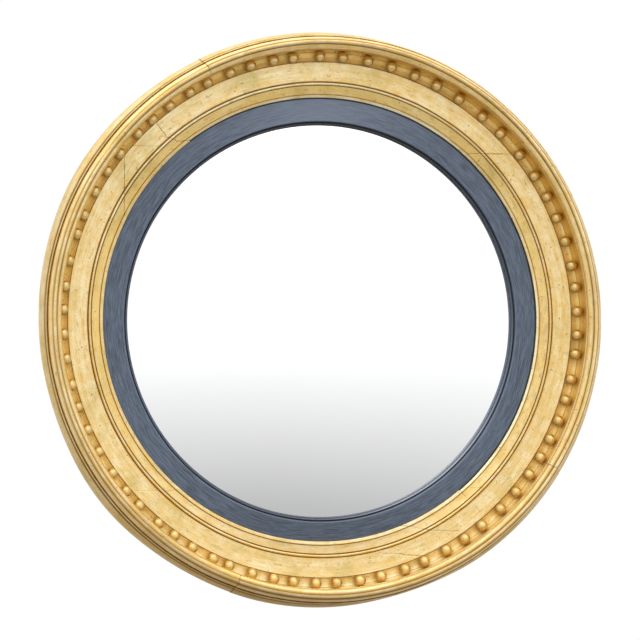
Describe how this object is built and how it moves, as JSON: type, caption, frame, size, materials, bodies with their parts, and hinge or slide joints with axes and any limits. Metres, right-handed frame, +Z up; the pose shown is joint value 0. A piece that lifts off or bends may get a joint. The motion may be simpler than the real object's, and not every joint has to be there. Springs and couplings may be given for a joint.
{
  "type": "convex wall mirror",
  "caption": "Round convex wall mirror in a deep gilded frame with a ball-set hollow, reeded edge and ebonised slip, hung by two D rings on its boarded back.",
  "frame": {"origin": "centre of the back, in the plane that lies against the wall", "axes": "+Z up the wall, +Y into the wall, so the glass faces -Y; +X to the right as the viewer sees it"},
  "size_m": [0.609, 0.0758, 0.609],
  "materials": {
    "gilding": "water-gilded gesso, aged satin, rubbed at the edges",
    "ball_gilding": "burnished water gilding, worn",
    "ebonised_wood": "ebonised and waxed, semi-gloss",
    "silvered_glass": "polished convex plate, silvered behind",
    "pine": "bare, aged",
    "backboard_pine": "bare, aged, sawn and planed",
    "dowel_beech": "bare",
    "steel": "dulled",
    "brass": "dulled"
  },
  "bodies": {
    "frame": {"back_ring_top_rail": "pine", "back_ring_bottom_rail": "pine", "back_ring_left_stile": "pine", "back_ring_right_stile": "pine", "frieze_top_rail": "gilding", "frieze_bottom_rail": "gilding", "frieze_left_stile": "gilding", "frieze_right_stile": "gilding", "outer_moulding_top": "gilding", "outer_moulding_left": "gilding", "outer_moulding_bottom": "gilding", "outer_moulding_right": "gilding", "gilt_balls": "ball_gilding", "ebonised_slip": "ebonised_wood", "mirror_plate": "silvered_glass", "glass_blocks": "pine", "slip_pins": "steel", "backboard_left": "backboard_pine", "backboard_middle": "backboard_pine", "backboard_right": "backboard_pine", "backboard_screws": "steel", "layer_screws": "steel", "back_ring_dowels": "dowel_beech", "frieze_dowels": "dowel_beech", "hanger_strap_left": "brass", "hanger_strap_right": "brass", "hanger_screws": "brass"},
    "left_ring": {"hanger_ring_left": "brass"},
    "right_ring": {"hanger_ring_right": "brass"}
  },
  "joints": [
    {"name": "left_ring_swing", "type": "hinge", "parent": "frame", "child": "left_ring", "pos_m": [-0.2207, -0.0029, 0.16035], "axis": [0.809, 0, -0.5878], "range_deg": [0, 180]},
    {"name": "right_ring_swing", "type": "hinge", "parent": "frame", "child": "right_ring", "pos_m": [0.2207, -0.0029, 0.16035], "axis": [0.809, 0, 0.5878], "range_deg": [0, 180]}
  ]
}
